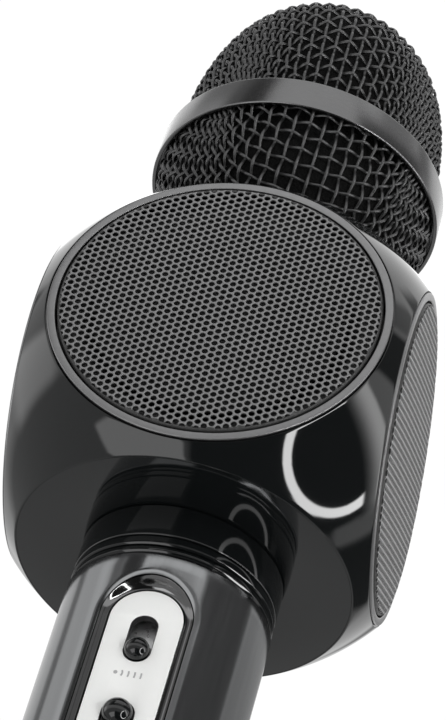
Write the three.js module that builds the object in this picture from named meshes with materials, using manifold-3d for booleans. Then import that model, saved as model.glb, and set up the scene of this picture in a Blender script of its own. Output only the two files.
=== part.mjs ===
// Cordless karaoke microphone: a cube-like speaker body with four round grilles, a wire-mesh
// head that unscrews from its top, and a metal handle with a strip of sliders and buttons.
// Units are millimetres. +Z runs up the microphone's axis, the origin is the centre of the
// flat end of the handle, and the control strip faces -Y.

import * as THREE from 'three';
import { mergeVertices } from 'three/addons/utils/BufferGeometryUtils.js';
import Module from 'manifold-3d';

const wasm = await Module();
wasm.setup();

// ---- Driving dimensions -------------------------------------------------------------------

const GAP = 0.3;                  // clearance between neighbouring pieces

const BODY_Z = 160;               // centre of the speaker body
const FACE = 37.35;                 // centre of the body to the face of a grille bezel
const BALL_R = 50.4;              // rounded outside of the body
const WALL = 2.5;
const CAP_FACE = 37;              // centre of the body to its flat top and bottom
const CAP_R = 33.5;               // top and bottom plates
const CAP_THICK = 2.2;

const BEZEL_R = 33.93;
const BEZEL_INNER_R = 32.3;
const BEZEL_SEAT = FACE - 1.1;    // shelf that the bezel lies on
const GRILLE_R = 31.9;
const GRILLE_CROWN = 0.95;        // how far a grille stands proud of its bezel

const BAND_R = 31.4;
const BAND_LOW_Z = 224.2;
const BAND_HIGH_Z = 231.8;
const BAND_WALL = 0.8;
const WEB_R = 27.6;               // inner edge of the web between the two wire meshes
const WEB_LOW_Z = 227.2;
const WEB_HIGH_Z = 228.6;
const DOME_R = 28.9;
const DOME_RISE = 44.6;
const DOME_POWER = 2.5;           // 2 is an ellipse; more gives fuller shoulders
const MESH_THICK = 1.3;
const BOWL_TOP_R = 30.2;
const BOWL_BULGE = [30.6, 215]; // control point of the lower mesh's outline
const BOWL_FOOT = [21.3, 201.8];

const HANDLE_R = 20.65;
const HANDLE_BORE_R = 18.5;
const HANDLE_TOP_Z = 110.8;
const NECK_R = 20.4;
const SPIGOT_R = 18.1;
const END_CAP_Z = 7;              // height of the end cap that shows

const PANEL_Y = -17.6;            // face of the white control strip
const PANEL_THICK = 1.7;
const PANEL_HALF = 7.07;
const PANEL_LOW_Z = 15.5;
const PANEL_HIGH_Z = 103.8;
const RECESS_WIDEN = 1.5;         // from the strip's frame inside to its outer edge
const KNOB_Y = -17.75;           // centre of a ball knob
const STEM_END_Y = -14.5;
const BOARD_Y = -11.4;            // front face of the circuit board

// Sliders: slot ends and half width, knob height at rest and ball radius.
const SLIDERS = {
  echo: { low: 87.1, high: 97.9, half: 2.58, knobZ: 89.7, ballR: 2.43 },
  volume: { low: 65.4, high: 78, half: 3.1, knobZ: 74.85, ballR: 2.93 },
  music: { low: 46.4, high: 57.2, half: 2.58, knobZ: 51.8, ballR: 2.43 },
};

// Push buttons: place on the strip and radius.
const BUTTONS = {
  power: { x: 0, z: 33, r: 2.9 },
  previous: { x: -4.55, z: 24.6, r: 1.6 },
  play: { x: 0, z: 24.6, r: 1.8 },
  next: { x: 4.55, z: 24.6, r: 1.6 },
};
const WINDOW = { z: 19.4, r: 0.9 };

const CAPSULE_Z = 228.3;
const CELL = { r: 9.1, length: 65, y: 4.5, z: 24 };
const PORTS = { charge: { y: -8, wide: 9, high: 3.4 }, jack: { y: 8, r: 3.6 } };
const CAP_SCREWS = { left: -13, right: 13 };
const CAP_SCREW_Y = 3;

// Quarter turns about Z from the front face to each face of the body.
const SIDES = { front: 0, right: 1, back: 2, left: 3 };

// ---- Finishes -----------------------------------------------------------------------------

const finish = (color, roughness, metalness) =>
  new THREE.MeshStandardMaterial({ color, roughness, metalness });

const FINISH = {
  gloss: finish(0x0c0d0e, 0.12, 0),
  satin: finish(0x7b7c7b, 0.42, 0.9),
  grille: finish(0x6a6b69, 0.5, 0.85),
  wire: finish(0x4c4d4c, 0.45, 0.8),
  band: finish(0x565758, 0.38, 0.9),
  gunmetal: finish(0x55575a, 0.26, 0.95),
  white: finish(0xecedeb, 0.35, 0),
  foam: finish(0x161616, 1, 0),
  cone: finish(0x1b1b1c, 0.8, 0),
  black: finish(0x1d1e1f, 0.55, 0),
  steel: finish(0xb4b6b8, 0.3, 1),
  board: finish(0x1f5a35, 0.5, 0),
  cell: finish(0x2f6db0, 0.4, 0),
  lamp: finish(0x9fc4e8, 0.2, 0),
};

// ---- Geometry helpers ---------------------------------------------------------------------

// Keeps positions only, merges shared vertices and drops collapsed triangles.
function weld(geometry) {
  const bare = geometry.clone();
  bare.deleteAttribute('normal');
  bare.deleteAttribute('uv');
  const merged = mergeVertices(bare, 1e-5);
  const index = merged.index.array;
  const kept = [];
  for (let i = 0; i < index.length; i += 3) {
    const [a, b, c] = [index[i], index[i + 1], index[i + 2]];
    if (a !== b && b !== c && c !== a) kept.push(a, b, c);
  }
  merged.setIndex(kept);
  return merged;
}

function toSolid(geometry) {
  const welded = weld(geometry);
  return new wasm.Manifold(new wasm.Mesh({
    numProp: 3,
    vertProperties: new Float32Array(welded.attributes.position.array),
    triVerts: new Uint32Array(welded.index.array),
  }));
}

function toGeometry(solid) {
  const mesh = solid.getMesh();
  const geometry = new THREE.BufferGeometry();
  geometry.setAttribute('position', new THREE.BufferAttribute(mesh.vertProperties, 3));
  geometry.setIndex(new THREE.BufferAttribute(mesh.triVerts, 1));
  geometry.computeVertexNormals();
  return geometry;
}

// Solid of revolution about +Z from the [radius, height] corners of its section, in order. A
// ring's section is closed here; one that meets the axis is opened between its points there.
function turned(outline, segments = 28) {
  const after = (i) => outline[(i + 1) % outline.length];
  const area = outline.reduce((sum, [r, h], i) => sum + r * after(i)[1] - after(i)[0] * h, 0);
  const split = outline.findIndex(([r], i) => r === 0 && after(i)[0] === 0) + 1;
  const points = [...outline.slice(split), ...outline.slice(0, split)];
  if (split === 0) points.push(points[0]);
  if (area < 0) points.reverse();
  const lathe = new THREE.LatheGeometry(points.map(([r, h]) => new THREE.Vector2(r, h)), segments);
  return weld(lathe.rotateX(Math.PI / 2));
}

// Upright cylinder about +Z between two heights.
function cylinder(radius, low, high, segments = 28) {
  return turned([[0, low], [radius, low], [radius, high], [0, high]], segments);
}

// Box between two corners.
function box(low, high) {
  const size = high.map((value, i) => value - low[i]);
  return new THREE.BoxGeometry(...size)
    .translate(...low.map((value, i) => value + size[i] / 2));
}

// Outline of a strip with round ends in the XZ plane, from its lowest to its highest point.
function stadium(half, low, high, steps = 8) {
  const points = [];
  for (let i = 0; i <= steps; i += 1) {
    const angle = (Math.PI * i) / steps;
    points.push([half * Math.cos(angle), high - half + half * Math.sin(angle)]);
  }
  for (let i = 0; i <= steps; i += 1) {
    const angle = Math.PI + (Math.PI * i) / steps;
    points.push([half * Math.cos(angle), low + half + half * Math.sin(angle)]);
  }
  return points;
}

const toVectors = (points) => points.map(([x, z]) => new THREE.Vector2(x, z));

// Flat plate in the XZ plane with holes, from backY towards -Y.
function plate(outline, holes, backY, thick) {
  const shape = new THREE.Shape(toVectors(outline));
  shape.holes = holes.map((hole) => new THREE.Path(toVectors(hole)));
  return new THREE.ExtrudeGeometry(shape, { depth: thick, bevelEnabled: false })
    .rotateX(Math.PI / 2)
    .translate(0, backY, 0);
}

function circle(x, z, radius, steps = 16) {
  return Array.from({ length: steps }, (_, i) => {
    const angle = (2 * Math.PI * i) / steps;
    return [x + radius * Math.cos(angle), z + radius * Math.sin(angle)];
  });
}

// Turns a piece modelled about +Z to lie along -Y.
const forward = (geometry) => geometry.clone().rotateX(Math.PI / 2);

const part = new THREE.Group();

function add(name, geometry, material, parent = part) {
  const mesh = new THREE.Mesh(geometry, material);
  mesh.name = name;
  parent.add(mesh);
  return mesh;
}

// Adds a piece modelled about +Z, centre of the body at 0, to one face of the body.
function addToSide(name, side, geometry, material) {
  const place = new THREE.Group();
  place.position.z = BODY_Z;
  place.rotation.z = (SIDES[side] * Math.PI) / 2;
  const mesh = add(name, geometry, material, place);
  mesh.rotation.x = Math.PI / 2;
  part.add(place);
}

// ---- Speaker body -------------------------------------------------------------------------

function speakerHousing() {
  const shelf = CAP_FACE - CAP_THICK - GAP;
  const cavityHalf = shelf - 2.1;
  const reach = 60;
  const ball = (radius) => new THREE.SphereGeometry(radius, 32, 16).rotateX(Math.PI / 2);
  const slab = (half) => toSolid(box([-reach, -reach, -half], [reach, reach, half]));
  let shell = toSolid(ball(BALL_R)).intersect(slab(CAP_FACE));
  shell = shell.subtract(toSolid(ball(BALL_R - WALL)).intersect(slab(cavityHalf)));

  const cuts = [cylinder(BEZEL_R + GAP, BEZEL_SEAT, reach), cylinder(BEZEL_INNER_R + 0.6, 33, reach)];
  for (const turn of Object.values(SIDES)) {
    for (const cut of cuts) {
      shell = shell.subtract(toSolid(forward(cut).rotateZ((turn * Math.PI) / 2)));
    }
  }
  shell = shell.subtract(toSolid(cylinder(CAP_R + GAP, shelf, reach)));
  shell = shell.subtract(toSolid(cylinder(CAP_R + GAP, -reach, -shelf)));
  shell = shell.subtract(toSolid(cylinder(CAP_R - 1.9, -reach, reach)));
  return toGeometry(shell).translate(0, 0, BODY_Z);
}

function topPlate() {
  const face = BODY_Z + CAP_FACE;
  const boss = 17.6;
  return turned([
    [3.5, face - CAP_THICK], [CAP_R, face - CAP_THICK], [CAP_R, face], [boss, face],
    [boss, face + 4.8], [3.5, face + 4.8],
  ]);
}

function bottomPlate() {
  const face = BODY_Z - CAP_FACE;
  const hole = 19.3;
  return turned([[hole, face], [CAP_R, face], [CAP_R, face + CAP_THICK], [hole, face + CAP_THICK]]);
}

function bezel() {
  const lip = BEZEL_INNER_R + 0.3;
  return turned([
    [BEZEL_INNER_R, 35], [lip, 35], [lip, BEZEL_SEAT + GAP], [BEZEL_R, BEZEL_SEAT + GAP],
    [BEZEL_R, FACE], [BEZEL_INNER_R, FACE],
  ]);
}

function grille() {
  const crown = FACE + GRILLE_CROWN;
  const sheet = 0.8;
  return turned([
    [0, crown], [20, crown - 0.2], [29.8, crown - 0.65], [GRILLE_R, crown - 1.75],
    [GRILLE_R, crown - 2.4], [GRILLE_R - sheet, crown - 2.4], [29.2, crown - 0.65 - sheet],
    [0, crown - sheet],
  ]);
}

function driverFrame() {
  return turned([
    [8, 22.2], [16.2, 22.2], [29.6, 33], [32.6, 33], [32.6, 34.3], [28, 34.3], [15, 23.6], [8, 23.6],
  ], 16);
}

function driverMagnet() {
  return turned([[0, 15.5], [13, 15.5], [13, 21.9], [6, 21.9], [6, 24.8], [0, 24.8]], 16);
}

// Surround, cone, dust cap and voice coil of one driver.
function driverCone() {
  return turned([
    [0, 30.4], [6, 29.6], [8.5, 28], [21.4, 34.7], [23.2, 35.6], [25, 34.7], [25, 34],
    [21.4, 33.9], [8.4, 27.1], [7.4, 27.1], [7.4, 24], [6.6, 24], [6.6, 28.4], [0, 29.4],
  ], 16);
}

function radiatorFrame() {
  return turned([[26.6, 33], [32.6, 33], [32.6, 34.3], [26.6, 34.3]], 16);
}

// Passive bass radiator: surround, flat plate and the weight behind it.
function radiator() {
  return turned([
    [0, 30.5], [8, 30.5], [8, 33.6], [26.2, 33.6], [26.2, 34.4], [23.4, 35.6], [20.6, 34.6],
    [0, 34.6],
  ], 16);
}

function addSpeakerBody() {
  add('speaker_housing', speakerHousing(), FINISH.gloss);
  add('top_plate', topPlate(), FINISH.gloss);
  add('bottom_plate', bottomPlate(), FINISH.gloss);
  for (const side of Object.keys(SIDES)) {
    addToSide(`bezel_${side}`, side, bezel(), FINISH.satin);
    addToSide(`grille_${side}`, side, grille(), FINISH.grille);
  }
  for (const side of ['front', 'back']) {
    addToSide(`driver_frame_${side}`, side, driverFrame(), FINISH.black);
    addToSide(`driver_magnet_${side}`, side, driverMagnet(), FINISH.steel);
    addToSide(`driver_cone_${side}`, side, driverCone(), FINISH.cone);
  }
  for (const side of ['left', 'right']) {
    addToSide(`radiator_frame_${side}`, side, radiatorFrame(), FINISH.black);
    addToSide(`bass_radiator_${side}`, side, radiator(), FINISH.cone);
  }
}

// ---- Microphone head ----------------------------------------------------------------------

// Outline of the dome from its foot to the axis, shrunk inwards by inset.
function domeOutline(inset, steps) {
  return Array.from({ length: steps + 1 }, (_, i) => {
    const t = Math.sin((Math.PI / 2) * (i / steps));
    const radius = (DOME_R - inset) * (1 - t ** DOME_POWER) ** (1 / DOME_POWER);
    return [i === steps ? 0 : radius, BAND_HIGH_Z + t * (DOME_RISE - inset)];
  });
}

// Outline of the bowl below the band from its foot to its rim, shrunk inwards by inset.
function bowlOutline(inset, rimZ, steps) {
  const curve = new THREE.QuadraticBezierCurve(
    new THREE.Vector2(...BOWL_FOOT),
    new THREE.Vector2(...BOWL_BULGE),
    new THREE.Vector2(BOWL_TOP_R, rimZ),
  );
  return curve.getPoints(steps).map(({ x, y }) => [x - inset, y]);
}

function upperMesh() {
  const foot = WEB_HIGH_Z + GAP;
  return turned([
    [DOME_R - MESH_THICK, foot], [DOME_R, foot],
    ...domeOutline(0, 7),
    ...domeOutline(MESH_THICK, 6).reverse(),
  ]);
}

function lowerMesh() {
  const rim = WEB_LOW_Z - GAP;
  return turned([...bowlOutline(0, rim, 5), ...bowlOutline(MESH_THICK, rim, 4).reverse()]);
}

function headBand() {
  const inner = BAND_R - BAND_WALL;
  const edge = 0.35;
  return turned([
    [inner, BAND_LOW_Z], [BAND_R - edge, BAND_LOW_Z], [BAND_R, BAND_LOW_Z + edge],
    [BAND_R, BAND_HIGH_Z - edge], [BAND_R - edge, BAND_HIGH_Z], [inner, BAND_HIGH_Z],
    [inner, WEB_HIGH_Z], [WEB_R, WEB_HIGH_Z], [WEB_R, WEB_LOW_Z], [inner, WEB_LOW_Z],
  ]);
}

function headCollar() {
  const low = BODY_Z + CAP_FACE + GAP;
  const high = BOWL_FOOT[1] - GAP;
  return turned([[18, low], [22.4, low], [22.4, 200], [21.4, high], [18, high]]);
}

function foamLiner() {
  const gapToMesh = 2.8;
  const thick = 4;
  const lining = (inset) => [
    ...bowlOutline(inset, WEB_LOW_Z, 3).map(([r, z]) => [Math.min(r, WEB_R - 0.5), z + 1.2]),
    ...domeOutline(inset - 0.4, 4),
  ];
  return turned([...lining(gapToMesh), ...lining(gapToMesh + thick).reverse()], 16);
}

function capsuleCradle() {
  const foot = BODY_Z + CAP_FACE + 4.8 + GAP;
  return turned([
    [3, foot], [12, foot], [12, foot + 2], [6, foot + 5], [6, 219], [12.6, 225], [12.6, 231.5],
    [11.2, 231.5], [11.2, CAPSULE_Z - GAP], [3, CAPSULE_Z - GAP],
  ], 16);
}

function capsule() {
  return turned([[0, CAPSULE_Z], [10.8, CAPSULE_Z], [10.8, 239.6], [10.2, 240.2], [0, 240.2]], 16);
}

// Screened lead from the capsule through the body and neck to the circuit board.
function capsuleLead() {
  const route = new THREE.CatmullRomCurve3([
    [0, 0, 228], [0, 0, 212], [0, 0, 198], [2, 4, 180], [1, 6, 155], [-2, 3, 132], [0, -6, 116],
    [0, -10.2, 108], [0, -10.6, 104.7],
  ].map((point) => new THREE.Vector3(...point)));
  const section = new THREE.Shape(toVectors(circle(0, 0, 1.1, 8)));
  return new THREE.ExtrudeGeometry(section, { steps: 16, extrudePath: route, bevelEnabled: false });
}

function addHead() {
  add('head_mesh_upper', upperMesh(), FINISH.wire);
  add('head_mesh_lower', lowerMesh(), FINISH.wire);
  add('head_band', headBand(), FINISH.band);
  add('head_collar', headCollar(), FINISH.black);
  add('foam_liner', foamLiner(), FINISH.foam);
  add('capsule_cradle', capsuleCradle(), FINISH.black);
  add('capsule', capsule(), FINISH.steel);
  add('capsule_lead', capsuleLead(), FINISH.black);
}

// ---- Neck and handle ----------------------------------------------------------------------

function neckSleeve() {
  const seat = BODY_Z - CAP_FACE - GAP;
  return turned([
    [15.5, 106.4], [SPIGOT_R, 106.4], [SPIGOT_R, 115.35], [NECK_R, 115.35], [NECK_R, seat],
    [19, seat], [19, 130.5], [15.5, 130.5],
  ]);
}

function neckNut() {
  const low = BODY_Z - CAP_FACE + CAP_THICK + GAP;
  return turned([[19.3, low], [23.5, low], [23.5, low + 3.6], [19.3, low + 3.6]]);
}

function trimRing(radius, low, high) {
  const edge = 0.5;
  return turned([
    [SPIGOT_R + GAP, low], [radius - edge, low], [radius, low + edge], [radius, high],
    [SPIGOT_R + GAP, high],
  ]);
}

function handleTube() {
  const tube = toSolid(turned([
    [HANDLE_BORE_R, END_CAP_Z + GAP], [HANDLE_R, END_CAP_Z + GAP], [HANDLE_R, 110.2],
    [HANDLE_R - 0.5, HANDLE_TOP_Z], [HANDLE_BORE_R, HANDLE_TOP_Z],
  ], 36));
  const outer = frameOutline(RECESS_WIDEN + GAP);
  return toGeometry(tube.subtract(toSolid(plate(outer, [], -10, 20))));
}

// Outline of the control strip's frame, grown by a margin.
function frameOutline(margin) {
  const grow = GAP + margin;
  return stadium(PANEL_HALF + grow, PANEL_LOW_Z - grow, PANEL_HIGH_Z + grow);
}

// Frame whose face slopes from the handle's round surface down to the flat control strip.
function panelBezel() {
  const outer = frameOutline(RECESS_WIDEN);
  const inner = frameOutline(0);
  const backY = PANEL_Y + PANEL_THICK + 0.1;
  const count = outer.length;
  const positions = [];
  for (let i = 0; i < count; i += 1) {
    const [ox, oz] = outer[i];
    const [ix, iz] = inner[i];
    const surfaceY = -Math.sqrt((HANDLE_R - 0.05) ** 2 - ox ** 2);
    positions.push(ox, surfaceY, oz, ix, PANEL_Y - 0.1, iz, ix, backY, iz, ox, backY, oz);
  }
  const index = [];
  for (let i = 0; i < count; i += 1) {
    const next = (i + 1) % count;
    for (let k = 0; k < 4; k += 1) {
      const [a, b] = [i * 4 + k, i * 4 + ((k + 1) % 4)];
      const [c, d] = [next * 4 + ((k + 1) % 4), next * 4 + k];
      index.push(a, c, b, a, d, c);
    }
  }
  const geometry = new THREE.BufferGeometry();
  geometry.setAttribute('position', new THREE.Float32BufferAttribute(positions, 3));
  geometry.setIndex(index);
  return geometry;
}

function controlPanel() {
  const slots = Object.values(SLIDERS).map(({ low, high, half }) => stadium(half, low, high));
  const holes = Object.values(BUTTONS).map(({ x, z, r }) => circle(x, z, r + GAP));
  holes.push(circle(0, WINDOW.z, WINDOW.r + GAP, 10));
  const outline = stadium(PANEL_HALF, PANEL_LOW_Z, PANEL_HIGH_Z);
  return plate(outline, [...slots, ...holes], PANEL_Y + PANEL_THICK, PANEL_THICK);
}

// Ball knob on a stem. The ball sits in its slot, about half of it proud of the strip.
function sliderKnob({ knobZ, ballR }) {
  const ball = toSolid(new THREE.SphereGeometry(ballR, 12, 8));
  const stem = toSolid(forward(cylinder(1.1, KNOB_Y - STEM_END_Y, 0, 8)));
  return toGeometry(ball.add(stem)).translate(0, KNOB_Y, knobZ);
}

// Slide potentiometer behind a slot.
function sliderPot({ low, high }) {
  const middle = (low + high) / 2;
  return box([-3, STEM_END_Y + 0.2, middle - 7.5], [3, BOARD_Y - 0.4, middle + 7.5]);
}

// Button cap with the flange that keeps it behind the strip.
function buttonCap({ x, z, r }) {
  const back = PANEL_Y + PANEL_THICK;
  return forward(turned([
    [0, -back - 0.9], [r + 0.4, -back - 0.9], [r + 0.4, -back - GAP], [r, -back - GAP],
    [r, -PANEL_Y + 0.6], [r - 0.3, -PANEL_Y + 0.8], [0, -PANEL_Y + 0.8],
  ], 16)).translate(x, 0, z);
}

function buttonSwitch({ x, z }) {
  return box([x - 1.8, PANEL_Y + 3.2, z - 1.8], [x + 1.8, BOARD_Y - 0.4, z + 1.8]);
}

function statusWindow() {
  const back = PANEL_Y + PANEL_THICK;
  return forward(turned([
    [0, -back - 0.9], [WINDOW.r + 0.6, -back - 0.9], [WINDOW.r + 0.6, -back - GAP],
    [WINDOW.r, -back - GAP], [WINDOW.r, -PANEL_Y], [0, -PANEL_Y],
  ], 10)).translate(0, 0, WINDOW.z);
}

// Half-round cradle for the cell with an end wall at each end and two screw bosses.
function batteryHolder() {
  const inner = CELL.r + 0.4;
  const outer = inner + 1.7;
  const low = CELL.z - 2.1;
  const high = CELL.z + CELL.length + 2.1;
  const shape = new THREE.Shape();
  shape.absarc(0, CELL.y, outer, 0, Math.PI, false);
  shape.absarc(0, CELL.y, inner, Math.PI, 0, true);
  const cradle = new THREE.ExtrudeGeometry(shape, {
    depth: high - low, bevelEnabled: false, curveSegments: 10,
  }).translate(0, 0, low);
  let holder = toSolid(cradle);
  holder = holder.add(toSolid(box([-15, CELL.y - 5, low], [15, CELL.y + 5, low + 1.6])));
  holder = holder.add(toSolid(box([-10, CELL.y - 6, high - 1.6], [10, CELL.y + 6, high])));
  for (const x of Object.values(CAP_SCREWS)) {
    const boss = cylinder(2.9, 14.5, low + 1, 12).translate(x, CAP_SCREW_Y, 0);
    const hole = cylinder(1.45, 10, low + 3, 12).translate(x, CAP_SCREW_Y, 0);
    holder = holder.add(toSolid(boss)).subtract(toSolid(hole));
  }
  return toGeometry(holder);
}

function batteryCell() {
  const top = CELL.z + CELL.length;
  return turned([
    [0, CELL.z], [CELL.r, CELL.z], [CELL.r, top - 1], [3, top - 1], [3, top], [0, top],
  ], 16).translate(0, CELL.y, 0);
}

function endCap() {
  const floor = 4;
  let cap = toSolid(turned([
    [0, 0], [18.8, 0], [19.95, 0.6], [20.45, 1.8], [20.45, END_CAP_Z], [SPIGOT_R, END_CAP_Z],
    [SPIGOT_R, 13], [16.4, 13], [16.4, floor], [0, floor],
  ]));
  const { charge, jack } = PORTS;
  const [halfX, halfY] = [charge.wide / 2, charge.high / 2];
  const cuts = [
    box([-halfX, charge.y - halfY, -1], [halfX, charge.y + halfY, 5]),
    cylinder(jack.r, -1, 5, 16).translate(0, jack.y, 0),
  ];
  for (const x of Object.values(CAP_SCREWS)) {
    cuts.push(cylinder(2.6, -1, 2, 12).translate(x, CAP_SCREW_Y, 0));
    cuts.push(cylinder(1.45, -1, 5, 12).translate(x, CAP_SCREW_Y, 0));
  }
  for (const cut of cuts) cap = cap.subtract(toSolid(cut));
  return toGeometry(cap);
}

// Metal shell of the charging socket, open below, with its contact tongue.
function chargePort() {
  const { y, wide, high } = PORTS.charge;
  const [halfX, halfY] = [wide / 2 - GAP, high / 2 - GAP];
  const wall = 0.35;
  const shell = toSolid(box([-halfX, y - halfY, 0.3], [halfX, y + halfY, 8]));
  const [mouthX, mouthY] = [halfX - wall, halfY - wall];
  const mouth = toSolid(box([-mouthX, y - mouthY, -1], [mouthX, y + mouthY, 7]));
  const tongue = toSolid(box([-2.6, y - 0.35, 1.4], [2.6, y + 0.35, 7.5]));
  return toGeometry(shell.subtract(mouth).add(tongue));
}

function audioJack() {
  const { y, r } = PORTS.jack;
  return turned([
    [1.8, 0.3], [r - GAP, 0.3], [r - GAP, 9], [0, 9], [0, 8], [1.8, 8],
  ], 16).translate(0, y, 0);
}

function capScrew(x) {
  return turned([
    [0, 0.4], [2.2, 0.4], [2.2, 1.7], [1.1, 1.7], [1.1, 20], [0, 20],
  ], 12).translate(x, CAP_SCREW_Y, 0);
}

function addHandle() {
  add('neck_sleeve', neckSleeve(), FINISH.gloss);
  add('neck_nut', neckNut(), FINISH.steel);
  add('neck_ring', trimRing(NECK_R, 113.1, 115), FINISH.gloss);
  add('collar_ring', trimRing(NECK_R - 0.2, 111.1, 112.7), FINISH.gloss);
  add('handle_tube', handleTube(), FINISH.gunmetal);
  add('panel_bezel', panelBezel(), FINISH.gunmetal);
  add('control_panel', controlPanel(), FINISH.white);
  for (const [name, slider] of Object.entries(SLIDERS)) {
    add(`${name}_knob`, sliderKnob(slider), FINISH.gloss);
    add(`${name}_pot`, sliderPot(slider), FINISH.steel);
  }
  for (const [name, button] of Object.entries(BUTTONS)) {
    add(`${name}_button`, buttonCap(button), FINISH.gloss);
    add(`${name}_switch`, buttonSwitch(button), FINISH.black);
  }
  add('status_window', statusWindow(), FINISH.lamp);
  add('main_board', box([-12, BOARD_Y, 14.5], [12, BOARD_Y + 1.6, 104]), FINISH.board);
  add('battery_cell', batteryCell(), FINISH.cell);
  add('battery_holder', batteryHolder(), FINISH.black);
  add('end_cap', endCap(), FINISH.black);
  add('charge_port', chargePort(), FINISH.steel);
  add('audio_jack', audioJack(), FINISH.black);
  for (const [side, x] of Object.entries(CAP_SCREWS)) {
    add(`cap_screw_${side}`, capScrew(x), FINISH.steel);
  }
}

addSpeakerBody();
addHead();
addHandle();

export default part;
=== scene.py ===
"""Looks of the cordless karaoke microphone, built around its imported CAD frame.

Shapes are written in millimetres in the CAD frame: +Z runs up the microphone and the control
strip faces -Y. shape() turns them to metres. Sizes and places that the CAD has already are
read from its nodes' boxes.
"""

import math

import bmesh
import bpy
import numpy as np
from mathutils import Matrix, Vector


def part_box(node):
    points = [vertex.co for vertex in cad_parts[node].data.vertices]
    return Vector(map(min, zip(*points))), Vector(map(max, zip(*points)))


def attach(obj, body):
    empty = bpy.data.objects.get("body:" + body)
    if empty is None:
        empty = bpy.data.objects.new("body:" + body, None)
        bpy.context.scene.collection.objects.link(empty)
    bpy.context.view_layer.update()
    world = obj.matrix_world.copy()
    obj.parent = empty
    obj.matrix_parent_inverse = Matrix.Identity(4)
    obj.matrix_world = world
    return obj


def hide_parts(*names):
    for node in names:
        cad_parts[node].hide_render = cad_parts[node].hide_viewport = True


MM = 0.001

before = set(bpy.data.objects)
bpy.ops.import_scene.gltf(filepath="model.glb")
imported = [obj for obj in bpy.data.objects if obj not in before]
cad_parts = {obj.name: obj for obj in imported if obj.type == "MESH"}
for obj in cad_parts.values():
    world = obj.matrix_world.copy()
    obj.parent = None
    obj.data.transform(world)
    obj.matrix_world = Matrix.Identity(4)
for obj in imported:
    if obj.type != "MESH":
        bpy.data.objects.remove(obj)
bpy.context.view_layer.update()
scene = bpy.context.scene
scene.view_settings.view_transform = "Standard"


def span(node):
    """Lowest and highest corner of a CAD node, in millimetres."""
    low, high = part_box(node)
    return low / MM, high / MM


def heights(node):
    """Lowest and highest z of a CAD node."""
    return [corner.z for corner in span(node)]


# ---- Sizes taken from the CAD nodes ----

housing_low, housing_high = heights("speaker_housing")
BODY_Z = (housing_low + housing_high) / 2
CAP_FACE = (housing_high - housing_low) / 2
FACE = -span("bezel_front")[0].y
BEZEL_R = span("bezel_front")[1].x
GRILLE_R = span("grille_front")[1].x
GRILLE_APEX = -span("grille_front")[0].y
CAP_R = span("bottom_plate")[1].x
BAND_R = span("head_band")[1].x
BAND_LOW, BAND_HIGH = heights("head_band")
DOME_R = span("head_mesh_upper")[1].x
DOME_FOOT, DOME_TOP = heights("head_mesh_upper")
BOWL_LOW, BOWL_RIM = heights("head_mesh_lower")
HANDLE_R = span("handle_tube")[1].x
HANDLE_LOW, HANDLE_TOP = heights("handle_tube")
NECK_R = span("neck_ring")[1].x
PANEL_Y = span("control_panel")[0].y
PANEL_BACK = span("control_panel")[1].y
PANEL_HALF = span("control_panel")[1].x
PANEL_LOW, PANEL_HIGH = heights("control_panel")

# Sizes of the CAD shapes that no box gives.
BALL_R = 50.4           # rounded outside of the speaker body
SEAT = FACE - 1.1       # shelf under a bezel
BEZEL_INNER_R = 32.3
GAP = 0.3
HANDLE_BORE_R = 18.5
BOWL_FOOT_R, BOWL_TOP_R = 21.3, 30.2
BOWL_BULGE = (30.6, 215)
WEB_R, WEB_LOW, WEB_HIGH = 27.6, 227.2, 228.6
DOME_POWER = 2.5
RECESS_WIDEN = 1.5
SLOTS = {"echo": (2.58, 87.1, 97.9), "volume": (3.1, 65.4, 78), "music": (2.58, 46.4, 57.2)}
LINER = 0.1             # black lining of the slots
JOINED = 0.004          # points nearer than this are one
EDGE_SOFT, EDGE_DROP = 1.2, 0.25     # rounding of the handle's metal round the strip

# Radii of a grille, from its middle: the start of its rolled edge, the limits that its holes and
# their cells are kept in, its border, and the ring that starts its edge.
CROWN_R, HOLES_R, CELLS_R, BORDER_R, EDGE_R = 30.9, 31.62, 31.76, 31.83, 31.87

QUARTER = {"front": 0, "right": 1, "back": 2, "left": 3}


# ---- Camera, floor and light ----


def linked(name, data):
    """A new object in the scene."""
    made = bpy.data.objects.new(name, data)
    scene.collection.objects.link(made)
    return made


def make_camera():
    """Looks up at the body from below, a little to its right, rolled so that it leans."""
    azimuth, elevation, roll = (math.radians(a) for a in (13.04, -39.93, 17.31))
    aside, above, distance = -0.00049, 0.0144, 0.7078
    data = bpy.data.cameras.new("camera")
    data.sensor_fit = "HORIZONTAL"
    data.sensor_width = 36
    data.lens = 280.76
    data.clip_start, data.clip_end = 0.05, 50
    camera = linked("camera", data)
    centre = Matrix.Translation((0, 0, BODY_Z * MM))
    around = Matrix.Rotation(azimuth, 4, "Z")
    tilted = Matrix.Rotation(math.pi / 2 - elevation, 4, "X")
    rolled = Matrix.Rotation(roll, 4, "Z")
    away = Matrix.Translation((aside, above, distance))
    camera.matrix_world = centre @ around @ tilted @ rolled @ away
    scene.camera = camera


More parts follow.
